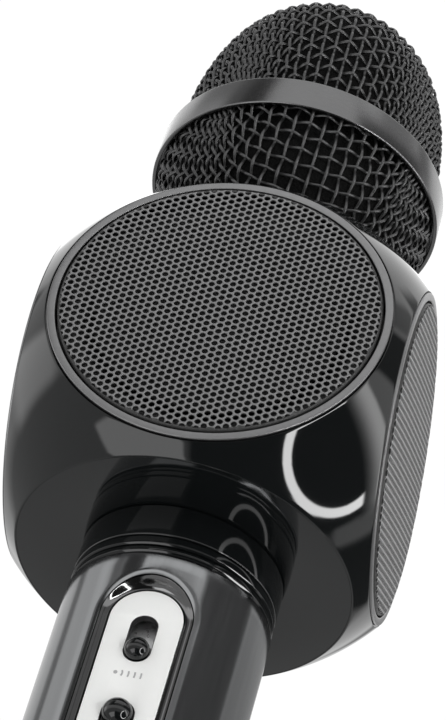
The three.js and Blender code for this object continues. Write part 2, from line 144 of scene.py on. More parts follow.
class Graph:
    """A node tree built in few words. A value may be a number, a colour or another socket."""

    def __init__(self, tree):
        self.tree = tree
        tree.nodes.clear()

    def node(self, kind, inputs=None, **settings):
        """A new node with its settings, and its inputs by name or number."""
        made = self.tree.nodes.new(kind)
        for key, value in settings.items():
            setattr(made, key, value)
        for key, value in (inputs or {}).items():
            self.feed(made.inputs[key], value)
        return made

    def feed(self, socket, value):
        if isinstance(value, bpy.types.NodeSocket):
            self.tree.links.new(value, socket)
        else:
            socket.default_value = value

    def math(self, operation, *values):
        made = self.node("ShaderNodeMath", operation=operation)
        for socket, value in zip(made.inputs, values):
            self.feed(socket, value)
        return made.outputs[0]

    def mix(self, share, a, b):
        """Colour a where share is 0 and b where it is 1."""
        made = self.node("ShaderNodeMix", data_type="RGBA")
        for index, value in ((0, share), (6, a), (7, b)):
            self.feed(made.inputs[index], value)
        return made.outputs[2]

    def ramp(self, value, low, high, start=0.0, end=1.0, smooth=False):
        """start where value is at or under low, end where it is at or over high."""
        made = self.node("ShaderNodeMapRange", clamp=True)
        made.interpolation_type = "SMOOTHSTEP" if smooth else "LINEAR"
        for socket, given in zip(made.inputs, (value, low, high, start, end)):
            self.feed(socket, given)
        return made.outputs[0]

    def coords(self, stretch=(1, 1, 1)):
        place = self.node("ShaderNodeTexCoord").outputs["Object"]
        return self.node("ShaderNodeMapping", {"Vector": place, "Scale": stretch}).outputs[0]

    def noise(self, per_mm, detail=3.0, stretch=(1, 1, 1)):
        """Noise from 0 to 1 with about per_mm features to a millimetre."""
        return self.node("ShaderNodeTexNoise", {
            "Vector": self.coords(stretch), "Scale": per_mm / MM, "Detail": detail,
        }).outputs["Fac"]

    def bump(self, height, depth_mm):
        inputs = {"Height": height, "Distance": depth_mm * MM}
        return self.node("ShaderNodeBump", inputs).outputs[0]

    def shown(self, shader):
        self.node("ShaderNodeOutputMaterial", {"Surface": shader.outputs[0]})


def new_material(name):
    """A material without nodes, and its graph."""
    material = bpy.data.materials.new(name)
    material.use_nodes = True
    return material, Graph(material.node_tree)


def studio_world():
    """Soft studio surround: light above, greys at the sides, and one ring-shaped softbox.
    What the camera sees behind the object is plain white."""
    world = bpy.data.worlds.new("studio")
    world.use_nodes = True
    scene.world = world
    g = Graph(world.node_tree)
    along = g.node("ShaderNodeTexCoord").outputs["Generated"]
    x, y, z = g.node("ShaderNodeSeparateXYZ", {0: along}).outputs
    degree = 180 / math.pi
    azimuth = g.math("MULTIPLY", g.math("ARCTAN2", x, g.math("MULTIPLY", y, -1)), degree)
    elevation = g.math("MULTIPLY", g.math("ARCSINE", z), degree)

    def within(value, low, high, soft):
        rise = g.ramp(value, low - soft, low + soft, smooth=True)
        return g.math("MULTIPLY", rise, g.ramp(value, high - soft, high + soft, 1, 0, smooth=True))

    def drawn(level, share, value):
        """A level moved a share of the way to a value."""
        return g.math("MULTIPLY_ADD", share, g.math("SUBTRACT", value, level), level)

    level = g.ramp(elevation, *HORIZON)
    for az_low, az_high, el_low, el_high, soft, value in WORLD_ZONES:
        centre, half = (az_low + az_high) / 2, (az_high - az_low) / 2
        away = g.math("WRAP", g.math("SUBTRACT", azimuth, centre), 180, -180)
        share = g.math(
            "MULTIPLY", within(away, -half, half, soft), within(elevation, el_low, el_high, soft),
        )
        level = drawn(level, share, value)
    ring_az, ring_el, ring_angle, ring_half, ring_power = RING
    turn, tilt = math.radians(ring_az), math.radians(ring_el)
    middle = (math.sin(turn) * math.cos(tilt), -math.cos(turn) * math.cos(tilt), math.sin(tilt))
    near = g.node("ShaderNodeVectorMath", {0: along, 1: middle}, operation="DOT_PRODUCT")
    angle = g.math("MULTIPLY", g.math("ARCCOSINE", near.outputs["Value"]), degree)
    off_line = g.math("ABSOLUTE", g.math("SUBTRACT", angle, ring_angle))
    ring = g.ramp(off_line, ring_half * 0.75, ring_half * 1.25, 1, 0, smooth=True)
    line_az, line_rise, start, peak, end, dim, bright = GLOW
    over_line = g.math("MULTIPLY_ADD", g.math("SUBTRACT", azimuth, line_az), line_rise, elevation)
    ring = g.math("MULTIPLY", ring, g.ramp(over_line, start - 1, start + 1, 1, 0))
    level = drawn(level, ring, ring_power)
    share = g.math(
        "MULTIPLY", within(azimuth, *GLOW_AZIMUTHS, 4), within(over_line, start, end, 1.5),
    )
    level = drawn(level, share, g.ramp(over_line, start, peak, dim, bright, smooth=True))

    surround = g.node("ShaderNodeBackground", {"Strength": level, "Color": WHITE})
    backdrop = g.node("ShaderNodeBackground", {"Strength": BACKDROP, "Color": WHITE})
    seen = g.node("ShaderNodeLightPath").outputs["Is Camera Ray"]
    both = g.node("ShaderNodeMixShader", {0: seen, 1: surround.outputs[0], 2: backdrop.outputs[0]})
    g.node("ShaderNodeOutputWorld", {"Surface": both.outputs[0]})


WHITE = (1, 1, 1, 1)
BACKDROP = 1.02
# Elevations between which the floor's brightness turns to that of the light above.
HORIZON = (-2, 4, 0.57, 1.3)
# Parts of the surround: lowest and highest azimuth, lowest and highest elevation, softness of
# the edge, all in degrees, then brightness. Azimuth 0 is in front of the control strip and 90 is
# to its right.
WORLD_ZONES = (
    (-102, -76, 0, 22, 4, 2.1),      # window light on the left
    (-62, -12, -60, -28, 1.5, 2.4),  # low strip, front left
    (-8, 62, -75, -22, 3, 0.03),     # dark floor in front
    (40, 105, -75, 2, 4, 0.04),      # dark round the ring
    (102, 113, -32, 2, 2, 1.0),
    (113, 150, -32, 0, 3, 0.06),
    (-180, -116, 22, 39, 4, 0.80),   # what the handle mirrors
    (-116, -103, 22, 39, 2.5, 0.26),
    (-103, -79, 22, 39, 3, 0.85),
    (-79, -66, 22, 39, 3, 1.1),
    (-66, -54, 22, 62, 3, 0.28),
    (-54, -16, 22, 62, 3, 0.09),
    (-16, 4, 22, 62, 4, 0.26),
    (4, 41, 22, 62, 2, 0.36),
    (41, 106, 22, 43, 2, 0.12),
    (62, 100, 45, 57, 2.5, 0.62),
    (106, 180, 22, 38, 3, 0.38),
    (-180, -140, 41, 62, 4, 1.9),    # what the band of the head mirrors
    (-140, -114, 41, 62, 4, 1.45),
    (-103, -66, 41, 62, 4, 0.5),
    (106, 126, 39, 62, 3, 0.35),
    (126, 180, 39, 62, 4, 1.35),
)
RING = (70, -18, 24.5, 2.0, 15.0)    # azimuth, elevation, radius, half width, brightness
# The slanting soft light that hides the ring's upper part. A line through elevation 0 at the
# azimuth given first falls by the second number for each degree of azimuth. The light starts,
# is brightest and ends at the next three heights over that line, and goes from dim to bright.
GLOW = (70, 0.45, -5.0, 8.5, 11.5, 0.35, 5.0)
GLOW_AZIMUTHS = (60, 102)


def flat_piece(name, corners):
    """One flat piece of the studio with a material, and the graph of that material."""
    mesh = bpy.data.meshes.new(name)
    mesh.from_pydata(corners, [], [range(len(corners))])
    piece = linked(name, mesh)
    material, g = new_material(name)
    mesh.materials.append(material)
    return piece, g


def make_floor():
    """Pale floor. The camera is under it, so its underside lets the camera through."""
    half = 4.0
    floor, g = flat_piece("floor", [(x, y, 0) for x, y in bar(0, 0, half, half)])
    pale = g.mix(g.noise(0.004), (0.80, 0.80, 0.79, 1), (0.84, 0.84, 0.83, 1))
    paint = g.node("ShaderNodeBsdfDiffuse", {"Color": pale})
    clear = g.node("ShaderNodeBsdfTransparent")
    under = g.node("ShaderNodeNewGeometry").outputs["Backfacing"]
    both = g.node("ShaderNodeMixShader", {0: under, 1: paint.outputs[0], 2: clear.outputs[0]})
    g.shown(both)
    floor.visible_glossy = False
    floor.visible_shadow = False


def make_softbox():
    """Card over the camera that only reflections show: the light patch on the head's band."""
    in_front = -300
    outline = [(-170, 320), (60, 322), (235, 352), (235, 720), (-170, 720)]
    card, g = flat_piece("softbox", [(x * MM, in_front * MM, z * MM) for x, z in outline])
    glow = g.ramp(g.noise(0.01), 0.2, 0.8, 1.15, 1.35)
    lamp = g.node("ShaderNodeEmission", {"Color": WHITE, "Strength": glow})
    g.shown(lamp)
    card.visible_camera = card.visible_diffuse = card.visible_shadow = False
    card.visible_transmission = False


# ---- Materials ----


def finish(name, dark, light, rough, per_mm, metallic=0.0, bump=None, stretch=(1, 1, 1), **sockets):
    """A material whose colour runs from dark to light and whose roughness runs over rough, with
    noise of per_mm features to a millimetre. bump is (features to a millimetre, depth in mm)."""
    material, g = new_material(name)
    inputs = {
        "Base Color": g.mix(g.noise(per_mm, stretch=stretch), (*dark, 1), (*light, 1)),
        "Metallic": metallic,
        "Roughness": g.ramp(g.noise(per_mm * 2.3, 4, stretch), 0.3, 0.7, *rough),
    }
    if bump:
        inputs["Normal"] = g.bump(g.noise(bump[0], 2, stretch), bump[1])
    shader = g.node("ShaderNodeBsdfPrincipled", inputs | sockets)
    g.shown(shader)
    return material, g, shader


def grey(value):
    return (value, value, value * 1.01)


PLAIN_FINISHES = {
    # Polished black plastic with faint handling haze.
    "gloss_black": (
        (0.0025, 0.0030, 0.0032), (0.0040, 0.0045, 0.0047), (0.02, 0.06), 0.02, 0, (0.35, 0.0012),
    ),
    "bezel_metal": (grey(0.20), grey(0.235), (0.34, 0.42), 0.5, 1, (5, 0.004)),
    "head_wire": (grey(0.065), grey(0.10), (0.34, 0.48), 1.2, 0.9, (6, 0.006)),
    # Satin band, brushed round its length.
    "band_metal": (grey(0.14), grey(0.16), (0.18, 0.26), 0.6, 1, (4, 0.0025), (1, 1, 6)),
    # Smooth dark metal drawn along the handle.
    "handle_metal": (
        (0.24, 0.245, 0.25), (0.265, 0.27, 0.275), (0.12, 0.17), 0.4, 1, (3, 0.0016), (1, 1, 0.06),
    ),
    # Smooth dark grey frame of the control strip.
    "frame_grey": (grey(0.15), grey(0.18), (0.08, 0.12), 0.3, 1, (2, 0.002)),
    "panel_white": (
        (0.80, 0.805, 0.795), (0.83, 0.835, 0.825), (0.32, 0.4), 0.15, 0, (3, 0.002),
    ),
    # Print of the marks.
    "label_grey": (grey(0.34), grey(0.40), (0.45, 0.55), 2),
    # Moulded black plastic with a fine grain.
    "matte_black": (grey(0.012), grey(0.018), (0.42, 0.55), 0.6, 0, (3, 0.012)),
    # Grey of the slider carriers. It is partly their own plastic and partly painted light, made
    # lighter to stand in for the lit floor of each slot beside its ball.
    "slot_grey": (grey(0.15), grey(0.18), (0.35, 0.45), 0.8, 0, (3, 0.006)),
    "steel": (grey(0.5), grey(0.58), (0.25, 0.36), 0.5, 1, (4, 0.003)),
    "rubber": (grey(0.02), grey(0.03), (0.65, 0.8), 0.5, 0, (2, 0.01)),
    # Pressed paper with fibres.
    "cone_paper": (grey(0.012), grey(0.028), (0.75, 0.9), 1.5, 0, (2.5, 0.05)),
    "cell_wrap": ((0.02, 0.11, 0.36), (0.03, 0.13, 0.41), (0.2, 0.3), 0.2, 0, (0.4, 0.01)),
}


def lamp_window():
    return finish(
        "lamp_window", (0.35, 0.55, 0.75), (0.4, 0.6, 0.8), (0.08, 0.14), 1,
        **{"Transmission Weight": 0.5},
    )[0]


def grille_metal(axis):
    """Painted punched sheet facing along an axis, with painted shade inside its holes and at its
    rolled edge; the sheets facing X get a lighter grey as painted light.
    """
    # Painted light: the sheets facing X, the side grilles, get a lighter grey than those facing Y.
    # It stands in for the brighter grazing light on them; both are the same paint.
    grey_by_light = (0.30, 0.19)[axis]
    material, g, shader = finish(
        f"grille_metal_{'xy'[axis]}", grey(grey_by_light), grey(grey_by_light + 0.04), (0.45, 0.6), 0.8, 0.7,
        (4, 0.006),
    )
    paint = shader.inputs["Base Color"].links[0].from_socket
    normal = g.node("ShaderNodeNewGeometry").outputs["True Normal"]
    facing = g.math("ABSOLUTE", g.node("ShaderNodeSeparateXYZ", {0: normal}).outputs[axis])
    # Painted shade: faces that don't look along the axis (the hole walls and the rolled edge) take
    # a dark colour and a lower specular level in place of the shade inside them.
    face_on = (0.78, 0.96)
    g.feed(shader.inputs["Base Color"], g.mix(g.ramp(facing, *face_on), (*[0.06] * 3, 1), paint))
    g.feed(shader.inputs["Specular IOR Level"], g.ramp(facing, *face_on, 0.25, 0.5))
    return material


def foam():
    """Open-cell foam, dark and fully matt, with its cells in the bump."""
    material, g, shader = finish(
        "foam", grey(0.002), grey(0.006), (0.95, 1), 0.8, **{"Specular IOR Level": 0.12},
    )
    cells = g.node("ShaderNodeTexVoronoi", {"Vector": g.coords(), "Scale": 1.6 / MM})
    g.feed(shader.inputs["Normal"], g.bump(cells.outputs["Distance"], 0.35))
    return material


def circuit_board():
    """Green solder mask with straight copper tracks under it."""
    material, g, shader = finish(
        "circuit_board", (0.01, 0.10, 0.035), (0.015, 0.12, 0.04), (0.25, 0.35), 0.3,
    )
    bricks = g.node("ShaderNodeTexBrick", {
        "Vector": g.coords(), "Scale": 0.2 / MM, "Mortar Size": 0.03,
        "Color1": (0.012, 0.11, 0.036, 1), "Color2": (0.014, 0.12, 0.04, 1),
        "Mortar": (0.03, 0.2, 0.07, 1),
    })
    g.feed(shader.inputs["Base Color"], bricks.outputs["Color"])
    return material


def all_materials():
    """Every material by its name, which is that of a slot or of a piece's look."""
    made = {name: finish(name, *look)[0] for name, look in PLAIN_FINISHES.items()}
    for make in (lamp_window, foam, circuit_board):
        made[make.__name__] = make()
    # The x copy is the lighter grey of the side grilles, which is painted light.
    for axis, letter in enumerate("xy"):
        made[f"grille_metal_{letter}"] = grille_metal(axis)
    return made


materials = all_materials()


# ---- Mesh building ----


def shape(name, points, faces, slot, stands_for=(), body="microphone", sharp=32, look=None):
    """One piece of the visual model from points in millimetres, on its body."""
    mesh = bpy.data.meshes.new(name)
    mesh.from_pydata((np.asarray(points, float) * MM).tolist(), [], [list(f) for f in faces])
    mesh.validate()
    return placed(name, mesh, slot, stands_for, body, sharp, look)


def placed(name, mesh, slot, stands_for=(), body="microphone", sharp=32, look=None):
    """A mesh as a piece on its body. Its material is the slot's own if no look is named."""
    mesh.shade_smooth()
    mesh.set_sharp_from_angle(angle=math.radians(sharp))
    mesh.materials.clear()
    mesh.materials.append(materials[look or slot])
    piece = linked(name, mesh)
    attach(piece, body)
    if stands_for:
        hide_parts(*stands_for)
    return piece


def rounded(corners, closed=True):
    """A section's outline from (radius, height, fillet) corners, each fillet turned to an arc."""
    count, steps = len(corners), 4
    line = []
    for i, (r, h, fillet) in enumerate(corners):
        here = np.array((r, h), float)
        ends = not closed and i in (0, count - 1)
        if fillet == 0 or ends:
            line.append(tuple(here))
            continue
        before = np.array(corners[i - 1][:2], float) - here
        after = np.array(corners[(i + 1) % count][:2], float) - here
        reach_before, reach_after = np.linalg.norm(before), np.linalg.norm(after)
        before, after = before / reach_before, after / reach_after
        half = math.acos(np.clip(before @ after, -1, 1)) / 2
        reach = min(fillet / math.tan(half), 0.48 * reach_before, 0.48 * reach_after)
        start, end = here + before * reach, here + after * reach
        for t in (k / steps for k in range(steps + 1)):
            line.append(tuple((1 - t) ** 2 * start + 2 * t * (1 - t) * here + t * t * end))
    return line


def skin(rings):
    """Quads between each closed row of points and the next."""
    return [quad for first, second in zip(rings, rings[1:])
            for quad in zip(first, first[1:] + first[:1], second[1:] + second[:1], second)]


def turned(line, segments=144):
    """Points and faces of a closed outline of (radius, height) turned about +Z."""
    angles = np.arange(segments) * 2 * math.pi / segments
    points, rings = [], []
    for r, h in line:
        start = len(points)
        if r < 1e-6:
            points.append((0, 0, h))
            rings.append([start] * segments)
        else:
            points.extend(zip(r * np.cos(angles), r * np.sin(angles), [h] * segments))
            rings.append(list(range(start, start + segments)))
    faces = []
    for quad in skin(rings + rings[:1]):
        face = [v for k, v in enumerate(quad) if v != quad[k - 1]]
        if len(face) > 2:
            faces.append(face)
    return np.array(points), outward(line, faces)


def to_side(points, side):
    """Moves points modelled about +Z, body centre at 0, to one face of the body."""
    x, y, z = np.asarray(points, float).T
    quarter = QUARTER[side] * math.pi / 2
    c, s = math.cos(quarter), math.sin(quarter)
    return np.stack([c * x + s * z, s * x - c * z, y + BODY_Z], 1)


def turned_piece(name, corners, slot, stands_for, segments=144, body="microphone"):
    """A turned piece from its section's corners."""
    points, faces = turned(rounded(corners), segments)
    return shape(name, points, faces, slot, stands_for, body)


def turned_front(name, line, centre, slot, stands_for, segments, body="microphone"):
    """A turned piece laid down to face -Y, with its axis through a centre."""
    points, faces = turned(line, segments)
    x, y, z = points.T
    points = np.stack([x + centre[0], centre[1] - z, y + centre[2]], 1)
    return shape(name, points, faces, slot, stands_for, body)


def outward(line, faces):
    """Faces turned round if the section runs the wrong way."""
    after = line[1:] + line[:1]
    area = sum(r * k - q * h for (r, h), (q, k) in zip(line, after))
    return faces if area > 0 else [face[::-1] for face in faces]


def final_mesh(piece):
    """A new mesh of what a piece's modifiers or curve settings make."""
    graph = bpy.context.evaluated_depsgraph_get()
    return bpy.data.meshes.new_from_object(piece.evaluated_get(graph))


def settled(piece):
    """Puts the mesh that a piece's modifiers make in place of its own."""
    mesh = final_mesh(piece)
    piece.modifiers.clear()
    piece.data = mesh


def flat_mesh(loops, thick, bevel=0.0, back=0.0):
    """Plate in the XZ plane whose back is at y = back, from (x, z) loops, holes among them."""
    data = bpy.data.curves.new("flat", "CURVE")
    data.dimensions = "2D"
    data.fill_mode = "BOTH"
    data.extrude = (thick / 2 - bevel) * MM
    data.bevel_depth = bevel * MM
    data.bevel_resolution = 2
    data.offset = -bevel * MM
    for loop in loops:
        spline = data.splines.new("POLY")
        spline.points.add(len(loop) - 1)
        for point, (x, z) in zip(spline.points, loop):
            point.co = (x * MM, z * MM, 0, 1)
        spline.use_cyclic_u = True
    carrier = linked("flat", data)
    mesh = final_mesh(carrier)
    bpy.data.objects.remove(carrier)
    mesh.transform(Matrix.Rotation(math.pi / 2, 4, "X"))
    mesh.transform(Matrix.Translation((0, (back - thick / 2) * MM, 0)))
    return welded(mesh, 0.001)


def welded(mesh, distance, drop_walls=False):
    """A mesh whose points within a distance are joined and whose faces look outwards. Walls
    that collapse onto each other are dropped if asked."""
    work = bmesh.new()
    work.from_mesh(mesh)
    bmesh.ops.remove_doubles(work, verts=work.verts, dist=distance * MM)
    if drop_walls:
        doubled = {}
        for face in work.faces:
            doubled.setdefault(frozenset(v.index for v in face.verts), []).append(face)
        extra = [face for group in doubled.values() if len(group) > 1 for face in group]
        bmesh.ops.delete(work, geom=extra, context="FACES_ONLY")
    bmesh.ops.recalc_face_normals(work, faces=work.faces)
    work.to_mesh(mesh)
    work.free()
    return mesh


def arc(x, z, radius, start, end, steps):
    """Points in (x, z) round a centre, from one angle to another."""
    angles = [start + (end - start) * k / steps for k in range(steps + 1)]
    return [(x + radius * math.cos(a), z + radius * math.sin(a)) for a in angles]


def stadium(half, low, high, steps=20):
    """Outline of a strip with round ends in (x, z), anticlockwise from its right side."""
    return (arc(0, high - half, half, 0, math.pi, steps)
            + arc(0, low + half, half, math.pi, 2 * math.pi, steps))


def circle(x, z, radius, steps=40):
    return arc(x, z, radius, 0, 2 * math.pi, steps)[:-1]


# ---- Speaker body ----


def shell_patch(edge, ball_r, azimuths, steps):
    """Points of one cube-face patch about +Z: the edge's (radius, height) rows, then rows on
    the ball out to the border with the neighbouring faces."""
    cos, sin = np.cos(azimuths), np.sin(azimuths)
    rows = [np.stack([r * cos, r * sin, np.full_like(cos, h)], 1) for r, h in edge]
    border = np.arctan(1 / np.maximum(abs(cos), abs(sin)))
    start = math.asin(edge[-1][0] / ball_r)
    for k in range(1, steps + 1):
        tilt = start + (border - start) * k / steps
        rows.append(ball_r * np.stack(
            [np.sin(tilt) * cos, np.sin(tilt) * sin, np.cos(tilt)], 1))
    return rows


def on_ball(ball_r, r):
    """A point of a ball's upper half in section, from its radius."""
    return r, math.sqrt(ball_r**2 - r**2)


def speaker_body_shell():
    """The rounded cube: one ball with six round openings, closed by an inner ball."""
    count, inner_r = 192, 46.0
    azimuths = np.arange(count) * 2 * math.pi / count
    opening, rim = BEZEL_R + GAP, 0.45
    side_hole, cap_hole = BEZEL_INNER_R + 0.6, CAP_R - 1.9
    side_edge = rounded([
        (side_hole, SEAT, 0), (opening, SEAT, 0),
        (opening, on_ball(BALL_R, opening)[1], 0.35), (*on_ball(BALL_R, opening + rim), 0),
    ], closed=False)
    cap_opening, turn_r = CAP_R + 0.45, 34.9
    shelf = CAP_FACE - 2.5
    slope = on_ball(BALL_R, turn_r)
    flat_end = turn_r - (CAP_FACE - slope[1]) * slope[1] / slope[0]
    bend = rounded([
        (cap_opening, shelf, 0), (cap_opening, CAP_FACE, 0.03), (flat_end, CAP_FACE, 0.8),
        (*slope, 0),
    ], closed=False)
    side = (side_edge, [on_ball(inner_r, side_hole)])
    cap = ([(cap_hole, shelf), *bend], [on_ball(inner_r, cap_hole)])
    upright = Matrix.Rotation(math.pi / 2, 3, "X")
    turns = [(side, Matrix.Rotation(math.pi / 2 * k, 3, "Z") @ upright) for k in range(4)]
    turns += [(cap, Matrix.Identity(3)), (cap, Matrix.Rotation(math.pi, 3, "X"))]
    faces, points = [], []
    for (outer_edge, inner_edge), turn in turns:
        inside = shell_patch(inner_edge, inner_r, azimuths, 5)
        rows = inside[::-1] + shell_patch(outer_edge, BALL_R, azimuths, 9)
        rings = []
        for row in rows:
            rings.append(list(range(len(points), len(points) + count)))
            points.extend(row @ np.array(turn).T)
        faces += skin(rings)
    points = np.array(points) + (0, 0, BODY_Z)
    piece = shape(
        "speaker_body_shell", points, faces, "gloss_black", ["speaker_housing"], sharp=28,
    )
    welded(piece.data, JOINED)


def body_plates():
    """Flat plates that close the body: below with the neck's socket, above with the head's seat."""
    low, high = BODY_Z - CAP_FACE, BODY_Z + CAP_FACE
    thick, edge, socket_r, lead_hole = 2.2, CAP_R + 0.4, 19.3, 3.5
    turned_piece("base_plate", [
        (socket_r, low, 0.1), (socket_r, low + thick, 0.1), (edge, low + thick, 0.1),
        (edge, low, 0.03),
    ], "gloss_black", ["bottom_plate"], 192)
    boss_r, boss_top, cove = 17.6, heights("top_plate")[1], 0.6
    turned_piece("upper_plate", [
        (lead_hole, high - thick, 0), (edge, high - thick, 0.1), (edge, high, 0.03),
        (boss_r + cove, high, 0.3), (boss_r, high + cove, 0.3), (boss_r, boss_top, 0.3),
        (lead_hole, boss_top, 0.2),
    ], "gloss_black", ["top_plate"], 192)


def side_ring(side):
    """Grille bezel: flat face with softened edges over a lip that goes into the body."""
    lip, lip_end = BEZEL_INNER_R + GAP, 35
    line = rounded([
        (BEZEL_INNER_R, lip_end, 0), (lip, lip_end, 0), (lip, SEAT + GAP, 0),
        (BEZEL_R, SEAT + GAP, 0), (BEZEL_R, FACE, 0.28), (BEZEL_INNER_R, FACE, 0.22),
    ])
    points, faces = turned(line, 192)
    shape(f"ring_{side}", to_side(points, side), faces, "bezel_metal", [f"bezel_{side}"])


def crown(r):
    """Height of a grille's face over the body's centre at a radius."""
    inside = GRILLE_APEX - 0.35 * (np.minimum(r, CROWN_R) / CROWN_R) ** 2.4
    beyond = np.clip((r - CROWN_R) / (GRILLE_R - CROWN_R), 0, 1)
    return inside - 1.05 * (1 - np.sqrt(np.maximum(0, 1 - beyond**2)))


def punched_sheet():
    """Face of a grille in (x, y) before its crown: a sheet with round holes in staggered
    columns. Holes that the border cuts are flat on that side."""
    pitch, hole_r, sides, steps = 1.584, 0.63, 12, 240
    column = pitch * math.sqrt(3) / 2
    turns = np.arange(sides) * 2 * math.pi / sides
    cell_r = np.where(np.arange(sides) % 2 == 0, pitch / math.sqrt(3), pitch / 2)
    cell = np.stack([cell_r * np.cos(turns), cell_r * np.sin(turns)], 1)
    hole = hole_r * np.stack([np.cos(turns), np.sin(turns)], 1)
    limit = int(BORDER_R / column) + 1
    centres = [
        (i * column, (j + 0.5 * (i % 2)) * pitch)
        for i in range(-limit, limit + 1) for j in range(-limit - 5, limit + 6)
    ]
    work = bmesh.new()
    known = {}

    def kept_in(point, radius):
        scale = min(1, radius / math.hypot(*point))
        return (point[0] * scale, point[1] * scale, 0)

    def corner(point):
        key = (round(point[0], 2), round(point[1], 2))
        if key not in known:
            known[key] = work.verts.new(kept_in(point, CELLS_R))
        return known[key]

    for centre in centres:
        if math.hypot(*centre) >= HOLES_R + hole_r - 0.3:
            continue
        outer = [corner(p) for p in cell + centre]
        inner = [work.verts.new(kept_in(p, HOLES_R)) for p in hole + centre]
        for quad in skin([outer, inner]):
            work.faces.new(quad)
    outline = set(known.values())
    jagged = [e for e in work.edges if e.is_boundary and all(v in outline for v in e.verts)]

    def ring_of(radius):
        return [work.verts.new((*point, 0)) for point in circle(0, 0, radius, steps)]

    ring = ring_of(BORDER_R)
    round_edges = [work.edges.new(pair) for pair in zip(ring, ring[1:] + ring[:1])]
    bmesh.ops.triangle_fill(work, use_beauty=True, edges=jagged + round_edges)
    for quad in skin([ring, *map(ring_of, (EDGE_R, GRILLE_R - 0.001, GRILLE_R))]):
        work.faces.new(quad)
    bmesh.ops.recalc_face_normals(work, faces=work.faces)
    work.verts.index_update()
    points = np.array([v.co[:] for v in work.verts])
    faces = [[v.index for v in f.verts] for f in work.faces]
    work.free()
    return points, faces


def grille_faces():
    """Four crowned grilles of punched sheet, each with its thickness."""
    flat, faces = punched_sheet()
    radius = np.hypot(flat[:, 0], flat[:, 1])
    foot = GRILLE_APEX - 2.3
    flat[:, 2] = np.where(radius > GRILLE_R - 0.0005, foot, crown(radius))
    first = flat[faces[0]]
    if np.cross(first[1] - first[0], first[2] - first[0])[2] < 0:
        faces = [face[::-1] for face in faces]
    for side, quarter in QUARTER.items():
        piece = shape(
            f"punched_grille_{side}", to_side(flat, side), faces, "grille_metal",
            [f"grille_{side}"], sharp=40, look=f"grille_metal_{'yx'[quarter % 2]}",
        )
        thick = piece.modifiers.new("sheet", "SOLIDIFY")
        thick.thickness = 0.55 * MM
        thick.offset = -1
        settled(piece)


# ---- Microphone head ----


def dome_profile(count):
    """The dome from its top to its foot: arc length, radius and height of each point."""
    tilt = np.linspace(0, math.pi / 2, count)
    power = 2 / DOME_POWER
    r = np.append(DOME_R * np.sin(tilt) ** power, DOME_R)
    h = np.append(BAND_HIGH + (DOME_TOP - BAND_HIGH) * np.cos(tilt) ** power, DOME_FOOT)
    return arc_table(r, h, 0)


def bowl_profile(count):
    """The bowl from its foot to its rim, as part of a dish that starts behind its foot."""
    dish = 24.0
    t = np.linspace(0, 1, count)[:, None]
    foot, bulge, rim = (np.array(p) for p in (
        (BOWL_FOOT_R, BOWL_LOW), BOWL_BULGE, (BOWL_TOP_R, BOWL_RIM)))
    r, h = ((1 - t) ** 2 * foot + 2 * t * (1 - t) * bulge + t * t * rim).T
    return arc_table(r, h, dish)


def arc_table(r, h, start):
    """Arc length along a line of points, counted from start, with their radii and heights."""
    length = start + np.concatenate([[0], np.cumsum(np.hypot(np.diff(r), np.diff(h)))])
    return length, r, h


def lay_on(profile, u, v, lift):
    """Places flat sheet points on a turned surface, moved along its outward normal by lift."""
    length, r, h = profile
    rho = np.hypot(u, v)
    around = np.arctan2(v, u)
    around = around + MESH_SHEAR / 4 * (rho / length[-1]) ** 1.5 * np.sin(4 * around)
    slope_r, slope_h = np.gradient(r, length), np.gradient(h, length)
    radius, height = np.interp(rho, length, r), np.interp(rho, length, h)
    nr, nh = -np.interp(rho, length, slope_h), np.interp(rho, length, slope_r)
    size = np.maximum(np.hypot(nr, nh), 1e-9)
    if h[-1] > h[0]:    # a bowl runs upwards from its foot, so its normal points the other way
        size = -size
    nr, nh = nr / size, nh / size
    cos, sin = np.cos(around + MESH_TURN), np.sin(around + MESH_TURN)
    normal = np.stack([nr * cos, nr * sin, nh], 1)
    point = np.stack([radius * cos, radius * sin, height], 1) + normal * lift[:, None]
    return point, normal


MESH_TURN = math.radians(-90 + 15)   # the weave lines up with the axis a little right of front
MESH_SHEAR = 0.6                     # how far the weave gives between its two directions


def tubes(lines, radius):
    """Points and faces of round wires along (points, normals) lines, with closed ends."""
    sides = 6
    points, faces = [], []
    angles = np.arange(sides)[None, :, None] * 2 * math.pi / sides
    for path, normal in lines:
        along = np.gradient(path, axis=0)
        along /= np.linalg.norm(along, axis=1)[:, None]
        aside = np.cross(along, normal)
        aside /= np.linalg.norm(aside, axis=1)[:, None]
        up = np.cross(aside, along)
        round_it = np.cos(angles) * aside[:, None] + np.sin(angles) * up[:, None]
        start = len(points)
        points.extend((path[:, None] + radius * round_it).reshape(-1, 3))
        rings = [list(range(k, k + sides)) for k in range(start, len(points), sides)]
        faces += [*skin(rings), rings[0][::-1], rings[-1]]
    return np.array(points), faces


def woven(name, profile, node):
    """Plain weave of crimped wires, a flat sheet drawn over a turned form."""
    pitch, crimp, wire_r, per_pitch, depth = 3.25, 0.6, 0.33, 6, 0.8
    start, end = profile[0][0], profile[0][-1]
    lines = []
    count = int(end / pitch)
    for warp in (True, False):
        for j in range(-count, count + 1):
            across = j * pitch
            half, inner = (math.sqrt(max(r**2 - across**2, 0)) for r in (end, start))
            if half < pitch * 0.6:
                continue
            runs = [(-half, -inner), (inner, half)] if inner > 0 else [(-half, half)]
            for low, high in runs:
                steps = max(3, int((high - low) / pitch * per_pitch) + 1)
                run = np.linspace(low, high, steps)
                other = np.full_like(run, across)
                lift = crimp * np.cos(math.pi * (run / pitch + j)) * (1 if warp else -1)
                u, v = (run, other) if warp else (other, run)
                lines.append(lay_on(profile, u, v, lift - depth))
    points, faces = tubes(lines, wire_r)
    shape(name, points, faces, "head_wire", [node], "head", 60)


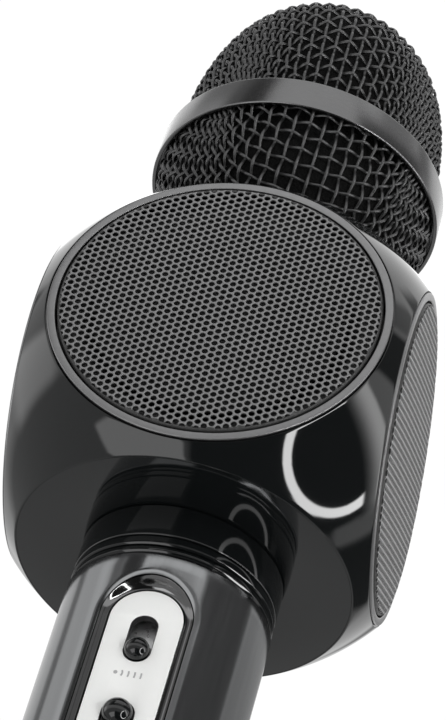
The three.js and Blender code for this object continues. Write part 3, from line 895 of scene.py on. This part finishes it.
def microphone_head():
    woven("woven_dome", dome_profile(400), "head_mesh_upper")
    woven("woven_bowl", bowl_profile(120), "head_mesh_lower")
    inner = BAND_R - 0.8
    turned_piece("mesh_band", [
        (inner, BAND_LOW, 0.1), (BAND_R, BAND_LOW, 0.45), (BAND_R, BAND_HIGH, 0.45),
        (inner, BAND_HIGH, 0.1), (inner, WEB_HIGH, 0), (WEB_R, WEB_HIGH, 0), (WEB_R, WEB_LOW, 0),
        (inner, WEB_LOW, 0),
    ], "band_metal", ["head_band"], 192, "head")
    head_collar()
    foam_lining()
    capsule_on_mount()


def head_collar():
    """Screwed collar under the wire mesh, with grip notches round it."""
    low, high = heights("head_collar")
    bore, grip_r, shoulder, notches = 18, 22.4, 200, 72
    points, faces = turned(rounded([
        (bore, low, 0.1), (grip_r, low, 0.3), (grip_r, shoulder, 0.3), (21.4, high, 0.2),
        (bore, high, 0.1),
    ]), 288)
    x, y, z = points.T
    radius, angle = np.hypot(x, y), np.arctan2(y, x)
    cut = ((z > low + 0.5) & (z < shoulder - 0.1) | (radius > 22)) * (radius > 20)
    notch = 0.16 * (0.5 + 0.5 * np.cos(angle * notches)) ** 2 * cut
    points[:, :2] *= (1 - notch / np.maximum(radius, 1))[:, None]
    shape("threaded_collar", points, faces, "matte_black", ["head_collar"], "head")


def capsule_on_mount():
    """Capsule with a sunk face in its rim, on the rubber mount that shows when the head is off."""
    foot = span("capsule_cradle")[0].z
    low, high = heights("capsule")
    seat, waist, cup, lip = low - GAP, 219, 225, 231.5
    turned_piece("shock_mount", [
        (3, foot, 0), (12, foot, 0.2), (12, foot + 2, 0.5), (6, foot + 5, 1.2), (6, waist, 1.5),
        (12.6, cup, 0.8), (12.6, lip, 0.4), (11.2, lip, 0.2), (11.2, seat, 0), (3, seat, 0),
    ], "rubber", ["capsule_cradle"], 96)
    turned_piece("capsule_can", [
        (0, low, 0), (10.8, low, 0.3), (10.8, high - 0.6, 0.15), (10.2, high, 0.2),
        (8.8, high, 0.15), (8.6, high - 0.5, 0.1), (0, high - 0.5, 0),
    ], "steel", ["capsule"], 96)


def foam_lining():
    """Smooth foam behind the mesh, a thick turned shell with a slightly uneven face."""
    dome_r, dome_h = dome_profile(60)[1:]
    bowl_r, bowl_h = bowl_profile(24)[1:]
    inset, thick, web_r = 1.45, 4, WEB_R - 0.4
    outer = [(min(r - inset, web_r), h + 0.6) for r, h in zip(bowl_r, bowl_h) if h < WEB_LOW - 1]
    outer.append((web_r, WEB_HIGH + 0.4))
    shrink = (DOME_R - inset) / DOME_R
    rise = (DOME_TOP - BAND_HIGH - inset) / (DOME_TOP - BAND_HIGH)
    outer += [(r * shrink, BAND_HIGH + (h - BAND_HIGH) * rise)
              for r, h in zip(dome_r[::-1], dome_h[::-1]) if h > BAND_HIGH]
    thin = 1 - thick / (DOME_R - inset)
    inner = [(r * thin, BAND_HIGH + (h - BAND_HIGH) * (0.9 if h > BAND_HIGH else 1.0))
             for r, h in outer[::-1]]
    points, faces = turned(outer + inner, 96)
    rng = np.random.default_rng(5)
    radius = np.hypot(points[:, 0], points[:, 1])
    jitter = rng.normal(0, 0.05, len(points)) * (radius > 1)
    points[:, :2] *= (1 + jitter / np.maximum(radius, 1))[:, None]
    piece = shape("foam_lining", points, faces, "foam", ["foam_liner"], "head", 60)


# ---- Neck and handle ----


def neck():
    """Gloss sleeve between body and handle, and the two thin rings under it."""
    seat, socket_end = BODY_Z - CAP_FACE - GAP, 130.5
    foot, spigot_r, spigot_end, bore = 115.35, 18.1, 106.4, 15.5
    turned_piece("neck_tube", [
        (bore, spigot_end, 0), (spigot_r, spigot_end, 0.3), (spigot_r, foot, 0),
        (NECK_R, foot, 0.3), (NECK_R, seat, 0.25), (19, seat, 0), (19, socket_end, 0),
        (bore, socket_end, 0),
    ], "gloss_black", ["neck_sleeve"], 160)
    ring_bore = 18.4
    for node, name, edge in (("neck_ring", "neck_trim", 0.3), ("collar_ring", "lower_trim", 0.6)):
        low, high = heights(node)
        radius = span(node)[1].x
        turned_piece(name, [
            (ring_bore, low, 0), (radius - edge, low, 0.12), (radius, low + edge, 0.12),
            (radius, high, 0.25), (ring_bore, high, 0),
        ], "gloss_black", [node], 160)


def cut_out(z, grow):
    """Half width of the strip's cut-out, grown by a margin, and how far z is past its straight
    part."""
    half = PANEL_HALF + grow
    low, high = PANEL_LOW - grow + half, PANEL_HIGH + grow - half
    return half, max(z - high, low - z, 0)


def recess_half(z, grow):
    """Half width of the cut-out at height z, or 0 beyond its ends."""
    half, past = cut_out(z, grow)
    return math.sqrt(max(half**2 - past**2, 0)) if past < half else 0.0


def handle_heights(grow):
    """Heights of the handle's rows, close together where the cut-out's ends are round."""
    half = PANEL_HALF + grow
    low, high = PANEL_LOW - grow, PANEL_HIGH + grow
    arc = [half * (1 - math.cos(math.pi / 2 * k / 18)) for k in range(19)]
    rows = [low + a for a in arc]
    rows += list(np.linspace(low + half, high - half, 26)[1:-1])
    rows += [high - a for a in reversed(arc)]
    below = np.linspace(HANDLE_LOW, low, 6)[:-1]
    above = [high + step for step in (0.1, 0.25, 0.45, 0.7, 1.0, 1.4)]
    return [*below, *rows, *above]


def off_strip(r, turn, z, grow):
    """Distance outside the strip's cut-out of points on the handle at height z."""
    half, past = cut_out(z, grow)
    return np.where(np.cos(turn) > 0, np.hypot(r * np.sin(turn), past) - half, EDGE_SOFT)


def handle_shell():
    """Tube with the cut-out for the control strip: outer and inner skins on one grid, joined
    round the cut-out and at both ends."""
    grow = GAP * 2 + RECESS_WIDEN
    outer = [(HANDLE_R, z) for z in handle_heights(grow)] + rounded([
        (HANDLE_R, 107.5, 0), (HANDLE_R, HANDLE_TOP, 0.55), (HANDLE_R - 1.4, HANDLE_TOP, 0),
    ], closed=False)
    chamfer = 0.25
    outer[0] = (HANDLE_R - chamfer, HANDLE_LOW)
    outer.insert(1, (HANDLE_R, HANDLE_LOW + chamfer))
    inner = [(HANDLE_BORE_R, min(z, HANDLE_TOP)) for _, z in outer]
    points, faces = [], []
    fine = np.array((0, 0.08, 0.2, 0.35, 0.55, 0.8, 1.1, 1.5)) / 115
    share = np.concatenate([fine, np.linspace(0.02, 0.98, 155), 1 - fine[::-1]])
    for skin in (outer, inner):
        for r, z in skin:
            edge = math.asin(recess_half(z, grow) / r)
            turn = edge + (2 * math.pi - 2 * edge) * share
            radius = np.full_like(turn, r)
            if skin is outer:
                away = off_strip(r, turn, z, grow)
                radius -= EDGE_DROP * np.clip(1 - away / EDGE_SOFT, 0, 1) ** 2
            x, y = radius * np.sin(turn), -radius * np.cos(turn)
            points.extend(zip(x, y, np.full_like(turn, z)))
    row, rows = len(share), len(outer)
    layer = row * rows
    for k in range(rows - 1):
        for i in range(row - 1):
            a = k * row + i
            faces.append((a, a + 1, a + row + 1, a + row))
            faces.append((layer + a, layer + a + row, layer + a + row + 1, layer + a + 1))
        for i in (0, row - 1):
            a = k * row + i
            faces.append((a, a + row, layer + a + row, layer + a))
    for k in (0, rows - 1):
        for i in range(row - 1):
            a = k * row + i
            faces.append((a, a + 1, layer + a + 1, layer + a))
    piece = shape("handle_shell", points, faces, "handle_metal", ["handle_tube"], sharp=35)
    welded(piece.data, JOINED / 10, drop_walls=True)


def strip_frame():
    """Frame round the control strip, dished from the handle's surface down to the strip."""
    rim_r, floor, back = HANDLE_R - EDGE_DROP - 0.05, PANEL_Y - 0.1, PANEL_BACK + 0.1

    def loop(grow):
        return np.array(stadium(PANEL_HALF + grow, PANEL_LOW - grow, PANEL_HIGH + grow, 28))

    inner, outer = loop(GAP), loop(GAP + RECESS_WIDEN)
    dish = [(1.0, 0.0), (0.9, 0.08), (0.62, 0.50), (0.36, 0.80), (0.14, 0.97), (0.0, 1.0)]
    points = []
    for (ix, iz), (ox, oz) in zip(inner, outer):
        surface = -math.sqrt(rim_r**2 - ox**2)
        for out, down in dish:
            x, z = ix + (ox - ix) * out, iz + (oz - iz) * out
            points.append((x, surface + (floor - surface) * down, z))
        points.extend([(ix, back, iz), (ox, back, oz)])
    per = len(dish) + 2
    rings = [list(range(k, k + per)) for k in range(0, len(points), per)]
    piece = shape(
        "strip_frame", points, skin(rings + rings[:1]), "handle_metal", ["panel_bezel"],
        sharp=40, look="frame_grey",
    )
    welded(piece.data, JOINED)


BUTTONS = ("power", "previous", "play", "next")
BUTTON_STEP, LENS_STEP = 0.4, 0.6    # from a flange's radius to that of the part in front of it
FLANGE = 0.6                         # how thick the flange is


def control_strip():
    """White strip with its slots and the openings for the buttons and the lamp."""
    loops = [stadium(PANEL_HALF, PANEL_LOW, PANEL_HIGH, 32)]
    for half, low, high in SLOTS.values():
        loops.append(stadium(half + LINER, low - LINER, high + LINER, 24))
    for name in BUTTONS:
        middle, flange = round_part(f"{name}_button")[:2]
        loops.append(circle(middle.x, middle.z, flange - BUTTON_STEP + GAP))
    middle, flange = round_part("status_window")[:2]
    loops.append(circle(0, middle.z, flange - LENS_STEP + GAP, 24))
    mesh = flat_mesh(loops, PANEL_BACK - PANEL_Y, 0.08, PANEL_BACK)
    placed("control_strip", mesh, "panel_white", ["control_panel"], sharp=30)


def round_part(node):
    """Middle, flange radius, and distances of the face and the back in front of the XZ plane, of
    a round CAD node that faces -Y."""
    low, high = span(node)
    return (low + high) / 2, (high.z - low.z) / 2, -low.y, -high.y


def slider(name):
    """Ball knob on its stem, the lining of its slot, and the carrier that closes part of it."""
    low, high = span(f"{name}_knob")
    radius, neck_r = high.x, 1.1
    centre_y, centre_z = low.y + radius, (low.z + high.z) / 2
    stem = high.y - centre_y
    start = math.asin(neck_r / radius)
    line = [(0, -stem), (neck_r, -stem)]
    for tilt in np.linspace(math.pi - start, 0, 25):
        line.append((radius * math.sin(tilt), radius * math.cos(tilt)))
    turned_front(f"{name}_ball", line, (0, centre_y, centre_z), "gloss_black", [f"{name}_knob"],
                 64, name)
    opening, slot_low, slot_high = SLOTS[name]
    mesh = flat_mesh([
        stadium(opening + LINER, slot_low - LINER, slot_high + LINER, 24),
        stadium(opening, slot_low, slot_high, 24),
    ], PANEL_BACK - PANEL_Y - 0.12, back=PANEL_BACK)
    placed(f"{name}_liner", mesh, "matte_black")
    # Painted light: the carrier's grey beside the ball is partly its own plastic and partly a
    # stand-in for the lit floor of the slot.
    loops = [stadium(opening + 0.9, centre_z - 5, centre_z + 2.9, 14), circle(0, centre_z, 2.1)]
    mesh = flat_mesh(loops, 0.5, 0.1, PANEL_BACK + 0.62)
    placed(f"{name}_carrier", mesh, "matte_black", body=name, look="slot_grey")


def arc_band(x, z, radius, width, start, end, steps=14):
    """Loop of a curved bar between two angles in degrees."""
    start, end = math.radians(start), math.radians(end)
    return (arc(x, z, radius + width / 2, start, end, steps)
            + arc(x, z, radius - width / 2, end, start, steps))


def bar(x, z, half_x, half_z):
    """Corners of a rectangle round a centre."""
    return [(x - half_x, z - half_z), (x + half_x, z - half_z), (x + half_x, z + half_z),
            (x - half_x, z + half_z)]


def wedge(x, z, half, direction):
    """Triangle that points along +X or -X."""
    return [(x - direction * half, z - half * 1.1), (x + direction * half, z),
            (x - direction * half, z + half * 1.1)]


def marks():
    """Generic printed signs, one under each slider and one on each button."""
    thick, sunk = 0.04, 0.005
    signs = {
        "echo_mark": (84, "microphone", [
            circle(-2.7, 0, 0.4, 16),
            *(arc_band(-2.7, 0, r, 0.34, -math.degrees(0.64 / r), math.degrees(0.64 / r))
              for r in (1.3, 2.5, 3.7, 4.9))]),
        "volume_mark": (61.6, "microphone", [
            [(-1.7, -0.25), (-1.2, -0.25), (-0.6, -0.7), (-0.6, 0.7), (-1.2, 0.25), (-1.7, 0.25)],
            *(arc_band(-0.5, 0, r, 0.22, -42, 42) for r in (0.6, 1.2, 1.8))]),
        "music_mark": (42.8, "microphone", [
            circle(-0.75, -0.75, 0.42, 20), bar(-0.42, 0.1, 0.1, 0.85),
            circle(0.85, -0.55, 0.42, 20), bar(1.18, 0.3, 0.1, 0.85),
            [(-0.52, 0.75), (1.28, 0.95), (1.28, 1.3), (-0.52, 1.1)]]),
        "power_mark": (None, "power", [
            arc_band(0, 0, 0.95, 0.26, 125, 415, 26), bar(0, 0.8, 0.13, 0.5)]),
        "previous_mark": (None, "previous", [wedge(0.15, 0, 0.5, -1), bar(-0.6, 0, 0.1, 0.5)]),
        "play_mark": (None, "play", [
            wedge(-0.35, 0, 0.5, 1), bar(0.5, 0, 0.1, 0.5), bar(0.85, 0, 0.1, 0.5)]),
        "next_mark": (None, "next", [wedge(-0.15, 0, 0.5, 1), bar(0.6, 0, 0.1, 0.5)]),
    }
    for name, (z, body, loops) in signs.items():
        x, y, slot = 0.0, PANEL_Y, "panel_white"
        if body in BUTTONS:
            middle, _, face, _ = round_part(f"{body}_button")
            x, y, z, slot = middle.x, -face, middle.z, "gloss_black"
        work = bmesh.new()
        for loop in loops:
            part = flat_mesh([[(px + x, pz + z) for px, pz in loop]], thick, back=y + sunk)
            work.from_mesh(part)
            bpy.data.meshes.remove(part)
        mesh = bpy.data.meshes.new(name)
        work.to_mesh(mesh)
        work.free()
        placed(name, mesh, slot, body=body, look="label_grey")


def button_caps():
    """Push buttons with a softened edge and a slightly dished face."""
    for name in BUTTONS:
        middle, flange, face, back = round_part(f"{name}_button")
        radius = flange - BUTTON_STEP
        line = rounded([
            (0, back, 0), (flange, back, 0.05), (flange, back + FLANGE, 0.05),
            (radius, back + FLANGE, 0), (radius, face, 0.35), (radius * 0.6, face - 0.06, 0.3),
            (0, face - 0.1, 0),
        ])
        turned_front(f"{name}_cap", line, (middle.x, 0, middle.z), "gloss_black",
                     [f"{name}_button"], 64, name)


def status_lens():
    """Clear cap of the charge lamp."""
    middle, flange, face, back = round_part("status_window")
    radius = flange - LENS_STEP
    line = rounded([
        (0, back, 0), (flange, back, 0), (flange, back + FLANGE, 0), (radius, back + FLANGE, 0),
        (radius, face - 0.1, 0.1), (0, face, 0),
    ])
    turned_front("status_lens", line, (0, 0, middle.z), "lamp_window", ["status_window"], 40)


def end_plug():
    """End cap: a turned cup, with the openings for the sockets and the screws cut in it."""
    top, skirt, floor, rim_r, skirt_r, bore = 7.0, 13.0, 4, 20.45, 18.1, 16.4
    plug = turned_piece("bottom_cap", [
        (0, 0, 0), (18.8, 0, 0.4), (19.95, 0.6, 0.5), (rim_r, 1.8, 0.5), (rim_r, top, 0.2),
        (skirt_r, top, 0), (skirt_r, skirt, 0.2), (bore, skirt, 0.2), (bore, floor, 0.3),
        (0, floor, 0),
    ], "matte_black", ["end_cap"])
    openings = {
        "charge_port": [(z, x) for x, z in stadium(1.7, -4.5, 4.5, 12)],
        "audio_jack": circle(0, 0, 3.6),
        "cap_screw_left": circle(0, 0, 2.6),
        "cap_screw_right": circle(0, 0, 2.6),
    }
    for node, loop in openings.items():
        low, high = span(node)
        middle = (low + high) / 2
        x = middle.x if "screw" in node else 0
        mesh = flat_mesh([[(px + x, pz) for px, pz in loop]], 12)
        mesh.transform(Matrix.Rotation(math.pi / 2, 4, "X"))
        mesh.transform(Matrix.Translation((0, middle.y * MM, -6 * MM)))
        cutter = linked("cutter", mesh)
        cut = plug.modifiers.new("cut", "BOOLEAN")
        cut.operation, cut.solver, cut.object = "DIFFERENCE", "EXACT", cutter
        settled(plug)
        bpy.data.objects.remove(cutter)
    plug.data.set_sharp_from_angle(angle=math.radians(30))


# ---- The whole model ----

CAD_FINISHES = {
    "cone_paper": ("driver_cone_front", "driver_cone_back"),
    "matte_black": ("driver_frame_front", "driver_frame_back", "radiator_frame_left",
                    "radiator_frame_right", "power_switch", "previous_switch", "play_switch",
                    "next_switch", "battery_holder", "audio_jack"),
    "steel": ("driver_magnet_front", "driver_magnet_back", "neck_nut", "charge_port",
              "cap_screw_left", "cap_screw_right", "echo_pot", "volume_pot", "music_pot"),
    "rubber": ("capsule_lead", "bass_radiator_left", "bass_radiator_right"),
    "circuit_board": ("main_board",),
    "cell_wrap": ("battery_cell",),
}


def build():
    for look, nodes in CAD_FINISHES.items():
        for node in nodes:
            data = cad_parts[node].data
            data.materials.clear()
            data.materials.append(materials[look])
    speaker_body_shell()
    body_plates()
    for side in QUARTER:
        side_ring(side)
    grille_faces()
    microphone_head()
    neck()
    handle_shell()
    strip_frame()
    control_strip()
    for name in SLOTS:
        slider(name)
    button_caps()
    status_lens()
    marks()
    end_plug()


make_camera()
make_floor()
make_softbox()
studio_world()
build()
